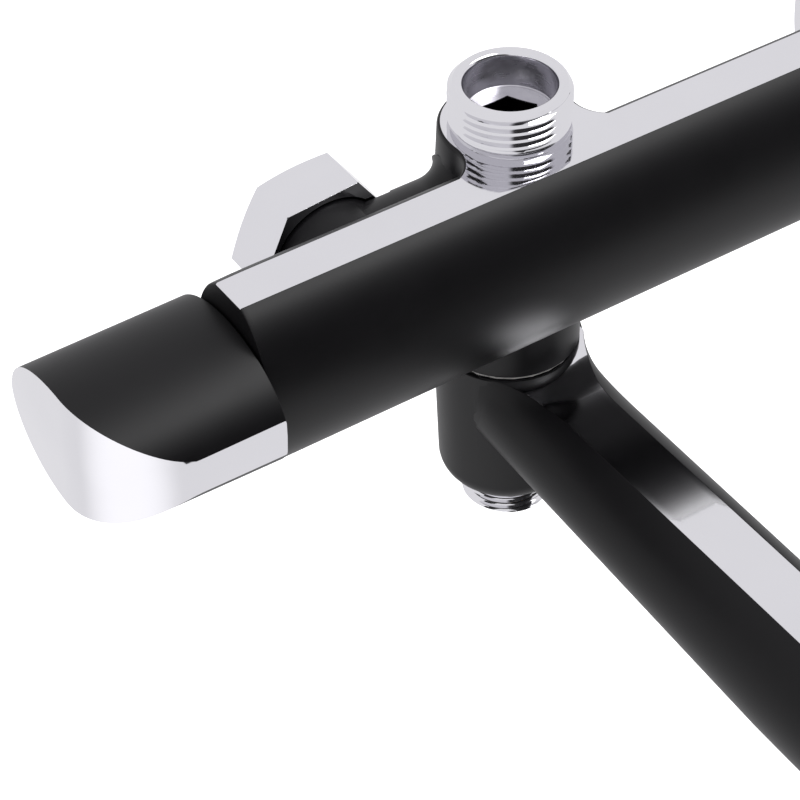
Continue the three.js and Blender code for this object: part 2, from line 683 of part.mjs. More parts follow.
for (const [side, use, turn] of [["left", "flow", Math.PI], ["right", "thermo", 0]]) {
  // The left end is the right end turned half round about Y, so its chrome face still looks forward.
  const valve = new THREE.Group();
  valve.position.set(side === "left" ? -bodyEnd : bodyEnd, -bodySetback, 0);
  valve.rotation.y = turn;
  const boreDepth = side === "left" ? flowBoreDepth : thermoBoreDepth;
  valve.add(piece(use + "_cartridge", cartridge(boreDepth - 8), plastic));
  valve.add(piece(use + "_cartridge_nut", cartridgeNut(), brass));
  valve.add(piece(use + "_spindle", spindle(), brass));
  if (side === "right") valve.add(piece("thermo_stop_ring", stopRing(), plastic));
  const grip = new THREE.Group();
  grip.position.x = loose;
  const name = side === "left" ? "flow_handle" : "temperature_handle";
  grip.add(piece(name, handle(), lacquer));
  grip.add(piece(name + "_screw", handleScrew(), brass));
  grip.add(piece(name + "_plug", handlePlug(), lacquer));
  valve.add(grip);
  faucet.add(valve);
}

const swivel = new THREE.Group();
swivel.position.set(riserX, -riserSetback, 0);
swivel.rotation.z = THREE.MathUtils.degToRad(spoutRestTurn);
swivel.add(piece("spout", spout(), lacquer));
swivel.add(piece("spout_bearing_ring", bearingRing(), plastic));
const aerator = new THREE.Group();
aerator.position.y = -spoutReach + aeratorFromTip;
aerator.add(piece("aerator_housing", aeratorShell(), chrome));
aerator.add(piece("aerator_insert", aeratorInsert(), plastic));
aerator.add(piece("aerator_seal", aeratorSeal(), rubber));
swivel.add(aerator);
faucet.add(swivel);

export default faucet;
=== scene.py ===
"""The looks of a wall mounted bath faucet in satin black and polished chrome, built round its frame."""
import json
import math

import bmesh
import bpy
from mathutils import Matrix, Vector


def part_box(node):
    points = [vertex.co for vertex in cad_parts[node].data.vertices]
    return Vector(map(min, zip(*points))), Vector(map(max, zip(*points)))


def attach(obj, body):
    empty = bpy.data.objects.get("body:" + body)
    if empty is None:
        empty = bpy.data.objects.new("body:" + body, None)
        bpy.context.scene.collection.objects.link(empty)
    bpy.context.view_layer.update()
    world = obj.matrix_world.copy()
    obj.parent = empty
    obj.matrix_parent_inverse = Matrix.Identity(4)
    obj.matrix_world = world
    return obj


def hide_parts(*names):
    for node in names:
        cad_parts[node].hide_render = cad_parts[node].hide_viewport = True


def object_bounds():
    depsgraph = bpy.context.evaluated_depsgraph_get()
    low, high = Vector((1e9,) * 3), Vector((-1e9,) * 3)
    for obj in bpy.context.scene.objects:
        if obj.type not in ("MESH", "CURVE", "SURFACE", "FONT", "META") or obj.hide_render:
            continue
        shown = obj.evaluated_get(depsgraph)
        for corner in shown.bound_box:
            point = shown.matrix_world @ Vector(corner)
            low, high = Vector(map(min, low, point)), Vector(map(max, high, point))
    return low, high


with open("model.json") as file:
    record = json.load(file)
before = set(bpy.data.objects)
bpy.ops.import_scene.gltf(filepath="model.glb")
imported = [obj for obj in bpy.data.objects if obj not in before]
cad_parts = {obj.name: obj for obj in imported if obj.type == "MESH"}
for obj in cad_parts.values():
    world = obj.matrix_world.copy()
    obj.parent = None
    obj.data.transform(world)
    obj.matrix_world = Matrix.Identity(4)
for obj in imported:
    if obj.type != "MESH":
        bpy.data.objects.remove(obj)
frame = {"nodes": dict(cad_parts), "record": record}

# ---- The view ----
# A long lens from above the left handle, so that the bar runs up to the right and the spout leaves
# at the lower right. The lens looks at a point on the bar's level, a little in front of the bar.
cad_low, cad_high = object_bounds()
look_at = Vector((-0.0884, -0.0599, 0))
distance = 0.5311
azimuth, elevation, roll = (math.radians(angle) for angle in (-32.075, 42.871, -1.551))
towards_lens = Vector((
    math.sin(azimuth) * math.cos(elevation),
    -math.cos(azimuth) * math.cos(elevation),
    math.sin(elevation),
))
level = Vector((math.cos(azimuth), math.sin(azimuth), 0))
upright = towards_lens.cross(level)
rightwards = level * math.cos(roll) + upright * math.sin(roll)
upwards = upright * math.cos(roll) - level * math.sin(roll)
lens = bpy.data.cameras.new("lens")
lens.sensor_width = 36
lens.lens = 121.5
lens.clip_start = 0.01
lens.clip_end = 20
camera = bpy.data.objects.new("camera", lens)
axes = Matrix((rightwards, upwards, towards_lens)).transposed()
camera.matrix_world = Matrix.Translation(look_at + towards_lens * distance) @ axes.to_4x4()
bpy.context.scene.collection.objects.link(camera)
bpy.context.scene.camera = camera


# ---- Finishes of the casting: satin black lacquer, polished chrome, bare brass ----
# The brass casting is sprayed satin black, then its top is milled flat and chromed. Inside its bores
# the brass is bare, with the fine rings that a boring tool leaves. The riser's inside wall is ringed
# in the same way under its chrome, whose colour is kept darker there as painted shade in the bore.
class Value:
    """A shader socket that takes part in ordinary sums by adding Math nodes."""

    def __init__(self, finish, socket):
        self.finish = finish
        self.socket = socket

    def sum_node(self, operation, first, second):
        return self.finish.node("ShaderNodeMath", {"operation": operation}, {0: first, 1: second})

    def __add__(self, other):
        return self.sum_node("ADD", self, other)

    def __radd__(self, other):
        return self.sum_node("ADD", other, self)

    def __sub__(self, other):
        return self.sum_node("SUBTRACT", self, other)

    def __rsub__(self, other):
        return self.sum_node("SUBTRACT", other, self)

    def __mul__(self, other):
        return self.sum_node("MULTIPLY", self, other)

    def __rmul__(self, other):
        return self.sum_node("MULTIPLY", other, self)

    def __pow__(self, other):
        return self.sum_node("POWER", self, other)


class Finish:
    """One material: its node tree, its place in metres on the piece, and its shader."""

    def __init__(self, name, **constants):
        self.material = bpy.data.materials.new(name)
        self.material.use_nodes = True
        self.tree = self.material.node_tree
        self.shader = self.tree.nodes["Principled BSDF"]
        for socket, number in constants.items():
            self.shader.inputs[socket.replace("_", " ")].default_value = number
        self.place = self.node("ShaderNodeTexCoord", output="Object")

    def node(self, kind, settings=None, sockets=None, output=0):
        made = self.tree.nodes.new(kind)
        for name, setting in (settings or {}).items():
            setattr(made, name, setting)
        for name, value in (sockets or {}).items():
            self.feed(made.inputs[name], value)
        return Value(self, made.outputs[output])

    def feed(self, socket, value):
        if isinstance(value, Value):
            self.tree.links.new(value.socket, socket)
        else:
            socket.default_value = value

    def noise(self, size, detail=2, place=None):
        """Cloudy noise, from 0 to 1, whose patches are about this many millimetres across."""
        return self.node("ShaderNodeTexNoise", {}, {
            "Vector": place or self.place, "Scale": 1000 / size, "Detail": detail, "Roughness": 0.55,
        })

    def stretched(self, along):
        """The place, squeezed so that noise on it is drawn out along one axis."""
        scale = [1, 1, 1]
        scale["XYZ".index(along)] = 0.02
        return self.node("ShaderNodeMapping", {}, {"Vector": self.place, "Scale": scale})

    def blend(self, share, first, second):
        """A colour between two, by share."""
        return self.node("ShaderNodeMix", {"data_type": "RGBA"}, {
            0: share, 6: (*first, 1), 7: (*second, 1),
        }, output=2)

    def bumps(self, height, depth, strength):
        """Feeds the shader's normal with bumps of this depth in millimetres."""
        raised = self.node("ShaderNodeBump", {}, {
            "Height": height, "Distance": depth / 1000, "Strength": strength,
        })
        self.feed(self.shader.inputs["Normal"], raised)

    def set(self, socket, value):
        self.feed(self.shader.inputs[socket], value)


def black_lacquer():
    finish = Finish("satin black lacquer", Specular_IOR_Level=0.22, IOR=1.5)
    cloud = finish.noise(9, 3)
    grain = finish.noise(0.32, 2)
    finish.set("Base Color", finish.blend(cloud, (0.0026, 0.0024, 0.0030), (0.0042, 0.0039, 0.0047)))
    finish.set("Roughness", 0.36 + 0.05 * cloud + 0.05 * grain)
    finish.bumps(grain, 0.012, 0.35)
    return finish.material


def polished_chrome():
    finish = Finish("polished chrome", Metallic=1)
    cloud = finish.noise(14, 2)
    haze = finish.noise(0.5, 3, finish.stretched("X"))
    finish.set("Base Color", finish.blend(cloud, (0.735, 0.730, 0.758), (0.765, 0.760, 0.788)))
    finish.set("Roughness", 0.035 + 0.02 * cloud + 0.03 * haze ** 3)
    finish.bumps(cloud, 0.01, 0.25)
    return finish.material


def turned_chrome_painted_shade():
    """Chrome over walls that a boring tool left finely ringed, so they mirror softly; darkened as painted
    shade.
    """
    finish = Finish("turned chrome with painted shade", Metallic=1)
    cloud = finish.noise(3, 3)
    rings = finish.noise(0.3, 2, finish.node("ShaderNodeMapping", {}, {
        "Vector": finish.place, "Scale": (0.02, 0.02, 1),
    }))
    # Darker than the polished chrome: painted shade deep in the bore; the cloud between the two is random
    # tone.
    finish.set("Base Color", finish.blend(cloud, (0.40, 0.39, 0.43), (0.62, 0.61, 0.65)))
    finish.set("Roughness", 0.2 + 0.08 * cloud + 0.1 * rings)
    finish.bumps(rings, 0.03, 0.6)
    return finish.material


def bare_brass():
    finish = Finish("bare brass", Metallic=1)
    cloud = finish.noise(5, 3)
    rings = finish.noise(0.18, 1, finish.stretched("Y"))
    finish.set("Base Color", finish.blend(cloud, (0.47, 0.33, 0.13), (0.60, 0.44, 0.20)))
    finish.set("Roughness", 0.26 + 0.16 * cloud + 0.1 * rings)
    finish.bumps(rings, 0.01, 0.5)
    return finish.material


lacquer = black_lacquer()
chrome = polished_chrome()
ringed_chrome_painted_shade = turned_chrome_painted_shade()
brass = bare_brass()

# ---- Body casting ----
# One brass casting: a tall oval bar with a milled flat on top, a round duct behind it from the hot
# inlet's neck to the riser, a boss that carries the riser, and the neck and spigot that the spout
# turns on. The other inlet's neck joins the bar by itself.
MM = 0.001
LACQUERED, CHROMED, BARE = 0, 1, 2
casting_finishes = (lacquer, chrome, brass)
FINE = 128  # facets round a full circle


def in_mm(node):
    """A CAD node's lowest and highest corners in millimetres."""
    return tuple(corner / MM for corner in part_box(node))


def skin(name, rings, finishes, bands=None, ends=(0, 0), looped=False):
    """A closed mesh over rings of points in millimetres, with a finish for each column and each end."""
    shape = bmesh.new()
    rows = [[shape.verts.new(Vector(point) * MM) for point in ring] for ring in rings]
    count = len(rings[0])
    pairs = list(zip(rows, rows[1:] + rows[:1])) if looped else list(zip(rows, rows[1:]))
    for low, high in pairs:
        for i in range(count):
            j = (i + 1) % count
            face = shape.faces.new((low[i], low[j], high[j], high[i]))
            face.material_index = bands[i] if bands else 0
    if not looped:
        for row, finish in ((rows[0], ends[0]), (rows[-1], ends[1])):
            shape.faces.new(row).material_index = finish
    bmesh.ops.remove_doubles(shape, verts=shape.verts, dist=1e-7)
    bmesh.ops.recalc_face_normals(shape, faces=shape.faces)
    mesh = bpy.data.meshes.new(name)
    shape.to_mesh(mesh)
    shape.free()
    for finish in finishes:
        mesh.materials.append(finish)
    made = bpy.data.objects.new(name, mesh)
    bpy.context.scene.collection.objects.link(made)
    return made


def oval(half_wide, upper, lower, cut, edge=0.12, columns=8, steps=96):
    """Points (across, up) round an oval that is cut off flat at a height; the flat's points come first."""
    def height_of(angle):
        return (upper if math.sin(angle) >= 0 else lower) * math.sin(angle)

    tall = upper if cut - edge >= 0 else lower
    start = math.asin((cut - edge) / tall)
    tall_at_cut = upper if cut >= 0 else lower
    flat = half_wide * math.sqrt(1 - (cut / tall_at_cut) ** 2) - edge
    points = [(-flat + 2 * flat * i / columns, cut) for i in range(columns + 1)]
    for i in range(steps + 1):
        angle = start - (math.pi + 2 * start) * i / steps
        points.append((half_wide * math.cos(angle), height_of(angle)))
    return points


def oval_bands(columns=8, steps=96):
    """The finish of each column of an oval: chrome on the flat alone."""
    return [CHROMED] * columns + [LACQUERED] * (steps + 2)


def circle(radius, steps=FINE):
    turns = (2 * math.pi * i / steps for i in range(steps))
    return [(radius * math.cos(turn), radius * math.sin(turn)) for turn in turns]


def pointing(axis, across, up, along):
    """A point given about an axis of the frame: X, Y or Z."""
    return {"X": (along, across, up), "Y": (up, along, across), "Z": (across, up, along)}[axis]


def turned(name, axis, centre, profile, finishes, looped=False, finish=0, steps=FINE):
    """A turned piece about an axis through a centre, from (radius, height) points in millimetres."""
    rings = []
    for radius, height in profile:
        ring = [pointing(axis, across, up, height) for across, up in circle(radius, steps)]
        rings.append([Vector(point) + Vector(centre) for point in ring])
    return skin(name, rings, finishes, [finish] * steps, (finish, finish), looped)


def combine(whole, operation, *parts):
    """Joins the parts to the whole, cuts them out of it or keeps what they share with it."""
    for part in parts:
        step = whole.modifiers.new("step", "BOOLEAN")
        step.operation = operation
        step.solver = "EXACT"
        step.object = part
    bpy.context.view_layer.update()
    seen = whole.evaluated_get(bpy.context.evaluated_depsgraph_get())
    mesh = bpy.data.meshes.new_from_object(seen)
    whole.modifiers.clear()
    whole.data = mesh
    for part in parts:
        bpy.data.objects.remove(part)
    return whole


def mounted(piece, body, slot, *nodes, crease=32):
    """Smooths a finished piece between its creases and ties it to its body and CAD nodes; its slot is not
    used.
    """
    piece.data.shade_smooth()
    piece.data.set_sharp_from_angle(angle=math.radians(crease))
    even = piece.modifiers.new("even", "WEIGHTED_NORMAL")
    even.keep_sharp = True
    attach(piece, body)
    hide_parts(*nodes)
    return piece


casting_low, casting_high = in_mm("body_casting")
nipple_low, nipple_high = in_mm("riser_nipple")
nut_low, nut_high = in_mm("right_union_nut")
stem_low, stem_high = in_mm("outlet_stem")
spout_low, spout_high = in_mm("spout")

BAR_HALF_DEEP = 14.7
BAR_HALF_TALL = 22
BAR_UNDER_TALL = 23.2
DUCT_RADIUS = 12.2
NECK_RADIUS = 13.2
BOSS_RADIUS = 15.4
BOSS_FILLET = 8
SPOUT_NECK_RADIUS = 16
SPIGOT_RADIUS = 11.4
CARTRIDGE_BORE = 12.3
FLOW_BORE_DEPTH = 45.7
THERMO_BORE_DEPTH = 63.7
INLET_THREAD = 10.5
INLET_THREAD_DEPTH = 6.2
INLET_BORE = 8.5
NUT_ROOM = 18.1
body_end = casting_high.x
bar_y = casting_low.y + BAR_HALF_DEEP
bar_top = casting_high.z
riser_x = (nipple_low.x + nipple_high.x) / 2
riser_y = (nipple_low.y + nipple_high.y) / 2
inlet_x = (nut_low.x + nut_high.x) / 2
inlet_z = (nut_low.z + nut_high.z) / 2
neck_end = nut_low.y + 0.6
spout_neck_bottom = spout_high.z + 0.4


def bar():
    """The bar, drawn in a little at the rear of each end, with a softened rim round each end face."""
    taper = 8
    places = [(0, 0.35), (0.1, 0.12), (0.35, 0)]
    places += [(taper * share / 6, 0) for share in range(1, 7)]
    stations = [(-body_end + place, inset) for place, inset in places]
    stations += [(riser_x, 0), (riser_x + 12, 0)] + [(-x, inset) for x, inset in reversed(stations)]
    rings = []
    for x, inset in stations:
        near_end = max(0, 1 - (body_end - abs(x)) / taper)
        right_of_boss = min(1, max(0, (x - riser_x) / 12))
        ring = []
        tall, under = BAR_HALF_TALL - inset, BAR_UNDER_TALL - inset
        outline = oval(BAR_HALF_DEEP - inset, tall, under, bar_top - inset, edge=0.06)
        for across, up in outline:
            drawn = 1 - 0.035 * near_end ** 2 if across > 0 else 1
            swell = 0.8 * right_of_boss * max(0, up / bar_top) ** 3 if across > 3 else 0
            ring.append((x, bar_y + across * drawn + swell, up))
        rings.append(ring)
    return skin("body", rings, casting_finishes, oval_bands())


def boss_outline(inset, steps=24):
    """The boss in plan: a circle that runs into the bar's flat through a concave fillet on each side."""
    radius, fillet = BOSS_RADIUS - inset, BOSS_FILLET + inset
    edge = bar_y - riser_y + BAR_HALF_DEEP * math.sqrt(1 - (bar_top / BAR_HALF_TALL) ** 2) - inset
    centre_y = edge + fillet
    centre_x = math.sqrt((radius + fillet) ** 2 - centre_y ** 2)
    lean = math.atan2(centre_y, centre_x)
    points = [(-centre_x, edge - 6), (centre_x, edge - 6)]
    for i in range(steps + 1):
        angle = -math.pi / 2 - (math.pi / 2 - lean) * i / steps
        points.append((centre_x + fillet * math.cos(angle), centre_y + fillet * math.sin(angle)))
    for i in range(1, 4 * steps):
        angle = lean + (math.pi - 2 * lean) * i / (4 * steps)
        points.append((radius * math.cos(angle), radius * math.sin(angle)))
    for i in range(steps + 1):
        angle = -lean - (math.pi / 2 - lean) * i / steps
        points.append((-centre_x + fillet * math.cos(angle), centre_y + fillet * math.sin(angle)))
    return points


def boss():
    """Upright under its rim and a little wider at its foot."""
    walls = [(bar_top, 0.8), (bar_top - 0.25, 0.35), (bar_top - 0.8, 0.05), (bar_top - 5, -0.15)]
    walls += [(bar_top - 10, -0.4), (-1, -0.5)]
    rings = [
        [(riser_x + x, riser_y + y, height) for x, y in boss_outline(inset)] for height, inset in walls
    ]
    return skin("boss", rings, casting_finishes, None, (CHROMED, LACQUERED))


def duct():
    """The round duct from the hot inlet to the boss, spreading up and down where it meets the boss."""
    fillet = 5
    gaps = [fillet * (1 + math.cos(math.pi * i / 16)) / 2 for i in range(17)] + [-3]
    rings = [[(-inlet_x, riser_y + across, inlet_z + up) for across, up in circle(DUCT_RADIUS)]]
    for gap in gaps:
        spread = fillet - math.sqrt(fillet ** 2 - (fillet - max(0, gap)) ** 2)
        ring = []
        for across, up in circle(DUCT_RADIUS):
            grown = 1 + spread * (up / DUCT_RADIUS) ** 2 / DUCT_RADIUS
            wall = riser_x - math.sqrt(BOSS_RADIUS ** 2 - across ** 2)
            ring.append((wall - gap, riser_y + across * grown, inlet_z + up * grown))
        rings.append(ring)
    made = skin("duct", rings, casting_finishes)
    nut_room = [(NUT_ROOM, nut_low.y - 0.4), (NUT_ROOM, 1)]
    room = turned("room", "Y", (-inlet_x, 0, inlet_z), nut_room, casting_finishes)
    return combine(made, "DIFFERENCE", room)


def inlet_neck(x):
    profile = [(NECK_RADIUS, bar_y), (NECK_RADIUS, neck_end - 0.2), (NECK_RADIUS - 0.2, neck_end)]
    return turned("neck", "Y", (x, 0, inlet_z), profile, casting_finishes)


def spout_neck():
    """The plain neck under the bar, and the grooved spigot that the spout's hub turns on."""
    groove_depth, groove_half = 1.3, 0.9
    bottom = spout_neck_bottom
    foot = casting_low.z
    profile = [
        (SPOUT_NECK_RADIUS, 0), (SPOUT_NECK_RADIUS, bottom + 0.35), (SPOUT_NECK_RADIUS - 0.35, bottom),
        (SPIGOT_RADIUS, bottom),
    ]
    for height in (bottom - 7, foot + 5):
        profile += [
            (SPIGOT_RADIUS, height + groove_half), (SPIGOT_RADIUS - groove_depth, height + groove_half),
            (SPIGOT_RADIUS - groove_depth, height - groove_half), (SPIGOT_RADIUS, height - groove_half),
        ]
    profile += [(SPIGOT_RADIUS, foot + 0.5), (SPIGOT_RADIUS - 0.5, foot)]
    return turned("neck", "Z", (riser_x, riser_y, 0), profile, casting_finishes)


def bore(axis, centre, radius, start, end, finish=BARE):
    """A drilled hole's cutter, whose walls leave bare brass unless they are sprayed."""
    profile = [(radius, start), (radius, end)]
    return turned("bore", axis, centre, profile, casting_finishes, finish=finish, steps=64)


flow_end = -body_end + FLOW_BORE_DEPTH
thermo_end = body_end - THERMO_BORE_DEPTH
on_bar = (0, bar_y, 0)
on_riser = (riser_x, riser_y, 0)
body = combine(bar(), "UNION", duct(), inlet_neck(-inlet_x), inlet_neck(inlet_x), boss(), spout_neck())
body = combine(
    body, "DIFFERENCE",
    bore("X", on_bar, CARTRIDGE_BORE, -body_end - 1, flow_end),
    bore("X", on_bar, CARTRIDGE_BORE, thermo_end, body_end + 1),
    bore("X", on_bar, 6, flow_end - 1, thermo_end + 1),
    bore("Z", on_riser, 11.02, nipple_low.z - 0.5, bar_top + 1, LACQUERED),
    bore("Z", on_riser, 9.32, 0, nipple_low.z, LACQUERED),
    bore("Z", on_riser, 9.8, casting_low.z - 1, -6),
    *[bore("Y", (x, 0, inlet_z), INLET_THREAD, neck_end - INLET_THREAD_DEPTH, neck_end + 1)
      for x in (-inlet_x, inlet_x)],
    *[bore("Y", (x, 0, inlet_z), INLET_BORE, bar_y + 13, neck_end - 6) for x in (-inlet_x, inlet_x)],
)
mounted(body, "faucet_body", "black_lacquer", "body_casting")


# ---- Riser nipple ----
# A chromed brass nipple with a G3/4 thread, screwed into the boss by the hexagon socket in its floor,
# for a shower riser to screw on. Its rubber seal lies in a recess that the nipple covers.
def threaded_rows(crest, root, pitch, low, high, chamfer, steps=FINE, per_turn=8):
    """Rings up a thread that rises as a helix, fades out at its foot and is chamfered at its top."""
    turns = math.ceil((high - low) / pitch) + 1
    rows = []
    for k in range(-per_turn, turns * per_turn + 1):
        ring = []
        phase = (k % per_turn) / per_turn
        ridge = 1 - abs(2 * phase - 1)
        swell = min(1, max(0, (ridge - 0.12) / 0.76))
        for j in range(steps):
            height = low + pitch * (k / per_turn + j / steps)
            height = min(high, max(low, height))
            fade = min(1, max(0, (height - low) / (0.6 * pitch)))
            radius = root + (crest - root) * swell * fade * fade * (3 - 2 * fade)
            radius = min(radius, root + max(0, (high - height)) / chamfer * (crest - root))
            ring.append((radius, 2 * math.pi * j / steps, height))
        rows.append(ring)
    return rows


def threaded(name, centre, rows, above, below, finishes):
    """A closed piece about Z: turned (radius, height) points below a helical thread and above it."""
    steps = len(rows[0])
    per_turn = 8
    shape = bmesh.new()

    def vertex(radius, turn, height):
        spot = Vector((radius * math.cos(turn), radius * math.sin(turn), height)) + Vector(centre)
        return shape.verts.new(spot * MM)

    def plain(points):
        return [[vertex(radius, 2 * math.pi * j / steps, height) for j in range(steps)]
                for radius, height in points]

    def close(low, high):
        for j in range(steps):
            n = (j + 1) % steps
            shape.faces.new((low[j], low[n], high[n], high[j]))

    grid = [[vertex(*point) for point in ring] for ring in rows]
    for k in range(len(grid) - 1):
        for j in range(steps - 1):
            shape.faces.new((grid[k][j], grid[k][j + 1], grid[k + 1][j + 1], grid[k + 1][j]))
        if k + 1 + per_turn < len(grid):
            last, first = steps - 1, 0
            up = k + per_turn
            shape.faces.new((grid[k][last], grid[up][first], grid[up + 1][first], grid[k + 1][last]))
    foot_ring = plain(below)
    top_ring = plain(above)
    for rings in (foot_ring, top_ring):
        for low, high in zip(rings, rings[1:]):
            close(low, high)
    close(top_ring[-1], foot_ring[0])
    bmesh.ops.remove_doubles(shape, verts=shape.verts, dist=1e-6)
    bmesh.ops.dissolve_degenerate(shape, edges=shape.edges, dist=1e-7)
    bmesh.ops.recalc_face_normals(shape, faces=shape.faces)
    mesh = bpy.data.meshes.new(name)
    shape.to_mesh(mesh)
    shape.free()
    for finish in finishes:
        mesh.materials.append(finish)
    made = bpy.data.objects.new(name, mesh)
    bpy.context.scene.collection.objects.link(made)
    return made


def hexagon_rod(name, axis, centre, across_flats, start, end, finishes, turn=0.0, finish=0):
    corners = []
    for i in range(6):
        angle = turn + math.pi * i / 3
        radius = across_flats / math.sqrt(3)
        corners.append((radius * math.cos(angle), radius * math.sin(angle)))
    rings = [
        [Vector(pointing(axis, a, u, along)) + Vector(centre) for a, u in corners] for along in (start, end)]
    return skin(name, rings, finishes, [finish] * 6, (finish, finish))


def riser_nipple():
    rim, low = nipple_high.z, nipple_low.z
    crest, root, pitch = 13.22, 12.06, 1.814
    shank, wall = 10.72, 3.5
    foot = bar_top + 0.03
    inner = 5
    rows = threaded_rows(crest, root, pitch, foot, rim, 1.2)
    below = [(root, foot), (shank, foot), (shank, low + 0.4), (shank - 0.4, low), (inner, low)]
    bore_radius = crest - wall
    above = [
        (root, rim), (bore_radius + 0.75, rim), (bore_radius + 0.35, rim - 0.3), (bore_radius, rim - 0.9),
        (bore_radius, bar_top + 1.9), (bore_radius - 0.3, bar_top + 1.6), (inner, bar_top + 0.9),
    ]
    finishes = (chrome, lacquer, ringed_chrome_painted_shade)
    made = threaded("riser", on_riser, rows, above, below, finishes)
    # The bore's wall takes the darker ringed chrome: real turning rings, with painted shade in its colour.
    for face in made.data.polygons:
        middle = face.center / MM - Vector(on_riser)
        if math.hypot(middle.x, middle.y) < bore_radius + 0.02 and middle.z > bar_top + 1.7:
            face.material_index = 2
    # The hexagon socket's walls take the black lacquer: painted shade down in the socket of a chromed nipple.
    key = hexagon_rod("key", "Z", on_riser, 12, low - 1, rim, finishes, finish=1)
    return combine(made, "DIFFERENCE", key)


riser = riser_nipple()
mounted(riser, "faucet_body", "chrome", "riser_nipple", crease=40)


# ---- Union nuts ----
# Two chromed hexagon nuts that turn freely on the inlets and screw onto the wall fittings. Their rear
# corners are turned off to arcs, and the inlet necks end in a shallow recess in their front faces.
NUT_FLATS = 30
NUT_TURN = math.pi / 2 - 0.09


def union_nut(x, name, turn):
    front, rear = nut_low.y, nut_high.y
    corner = NUT_FLATS / math.sqrt(3)
    middle = (x, 0, inlet_z)
    nut = hexagon_rod(name, "Y", middle, NUT_FLATS, front, rear, (chrome,), turn)
    rounded = turned("lathe", "Y", middle, [
        (corner * 0.985, front), (corner + 0.5, front + 0.6), (corner + 0.5, rear - 0.9),
        (NUT_FLATS / 2 - 0.1, rear),
    ], (chrome,))
    recess = turned("recess", "Y", middle, [
        (NECK_RADIUS + 0.65, front - 1), (NECK_RADIUS + 0.65, front + 1), (10.6, front + 1),
        (10.6, front + 3.5), (12.05, front + 3.5), (12.05, rear - 1), (13.25, rear + 1),
    ], (chrome,))
    combine(nut, "INTERSECT", rounded)
    combine(nut, "DIFFERENCE", recess)
    soft = nut.modifiers.new("soft edges", "BEVEL")
    soft.width = 0.14 * MM
    soft.segments = 2
    soft.limit_method = "ANGLE"
    soft.angle_limit = math.radians(35)
    return nut


for side, x, turn in (("left", -inlet_x, NUT_TURN), ("right", inlet_x, NUT_TURN + math.pi / 6)):
    nut = union_nut(x, side + "_nut_visible", turn)
    mounted(nut, side + "_nut", "chrome", side + "_union_nut")


# ---- Handles ----
# Hollow castings, oval like the bar's end but laid flat, lacquered black. The front is cut flat,
# swept round the end on one radius and let fall back a little behind it, and that face alone is
# chromed. A grub screw behind holds each.
handle_low, handle_high = in_mm("temperature_handle")
HANDLE_HALF_WIDE = 22
HANDLE_SWEEP = 20.4
HANDLE_TUCK = 0.9
FACE_SETBACK = 0.1
FACE_FORWARD = 0.2
END_LEAN = 0.06
FRONT_LEAN = 0.08


def handle_plan(length, flat):
    """The chromed face in plan: straight along the front, swept round the end, then falling back."""
    points = [(-1, -flat)]
    for i in range(33):
        turn = math.pi / 2 * i / 32
        across = length - HANDLE_SWEEP * (1 - math.sin(turn))
        points.append((across, HANDLE_SWEEP * (1 - math.cos(turn)) - flat))
    side_y, rear = HANDLE_SWEEP - flat, HANDLE_HALF_WIDE + 1
    for i in range(1, 13):
        t = i / 12
        along = length - HANDLE_TUCK * t * t
        points.append((along, side_y * (1 - t) ** 2 + HANDLE_HALF_WIDE * t * (1 - t) + rear * t * t))
    points.append((-1, rear))
    return points


def handle(side, name):
    """An oval barrel cut by the chromed face; side is -1 for the left end and 1 for the right end.

    The face leans inwards above the middle at the end, and below the middle at the front.
    """
    mouth = handle_low.x
    length = handle_high.x - mouth
    half_thick = handle_high.z
    stations = [(0, 0.3), (0.08, 0.1), (0.3, 0)] + [((length + 1) * share / 6, 0) for share in range(1, 7)]
    rings = []
    for place, inset in stations:
        thick = half_thick - 0.9 * place / length - inset
        wide = HANDLE_HALF_WIDE - inset
        rings.append([
            (side * (mouth + place), bar_y + wide * across, thick * up) for across, up in circle(1)])
    barrel = skin(name, rings, casting_finishes)
    plan = handle_plan(length, bar_y - handle_low.y)
    sides = []
    for height in range(-20, 21, 4):
        shorter = FACE_SETBACK + END_LEAN * max(0, height)
        forward = FACE_FORWARD + FRONT_LEAN * min(0, height)
        sides.append([
            (side * (mouth + x - shorter * x / length), bar_y + y - forward, height) for x, y in plan])
    face = skin("face", sides, casting_finishes, [CHROMED] * len(plan), (CHROMED, CHROMED))
    return combine(barrel, "INTERSECT", face)


def handle_hollow(side):
    """The cutter for a handle's inside, round the boss that grips the spindle."""
    mouth = handle_low.x
    depth = handle_high.x - mouth - 14
    ring = [(10.8 * math.cos(2 * math.pi * i / 64), 18.2 * math.sin(2 * math.pi * i / 64)) for i in range(64)]
    rings = [[(side * (mouth + along), bar_y - up, across) for across, up in ring] for along in (-1, depth)]
    hollow = skin("hollow", rings, casting_finishes, [BARE] * 64, (BARE, BARE))
    start, end = sorted((side * (mouth + 3.4), side * (mouth + depth + 1)))
    grip = turned("grip", "X", on_bar, [(6.4, start), (6.4, end)], casting_finishes, finish=BARE, steps=48)
    middle = side * (mouth + 11.5)
    web_rings = [
        [(middle + dx, bar_y + dy, z) for dx, dy in ((-5.5, 4.4), (5.5, 4.4), (5.5, 20), (-5.5, 20))]
        for z in (-4, 4)
    ]
    web = skin("web", web_rings, casting_finishes, [BARE] * 4, (BARE, BARE))
    return combine(hollow, "DIFFERENCE", grip, web)


for side, cad_name, grip_name in (
    (-1, "flow_handle", "flow_grip"), (1, "temperature_handle", "temperature_grip"),
):
    lever = handle(side, cad_name + "_visible")
    mouth = handle_low.x
    start, end = sorted((side * (mouth - 1), side * (mouth + 20)))
    screw_x = side * (mouth + 12)
    plug_room = [(3.45, bar_y + 18), (3.45, bar_y + 23)]
    combine(
        lever, "DIFFERENCE",
        handle_hollow(side),
        bore("X", on_bar, 4, start, end),
        bore("Y", (screw_x, 0, 0), 2.25, bar_y, bar_y + 23),
        turned("plug hole", "Y", (screw_x, 0, 0), plug_room, casting_finishes, steps=64),
    )
    mounted(lever, grip_name, "black_lacquer", cad_name)

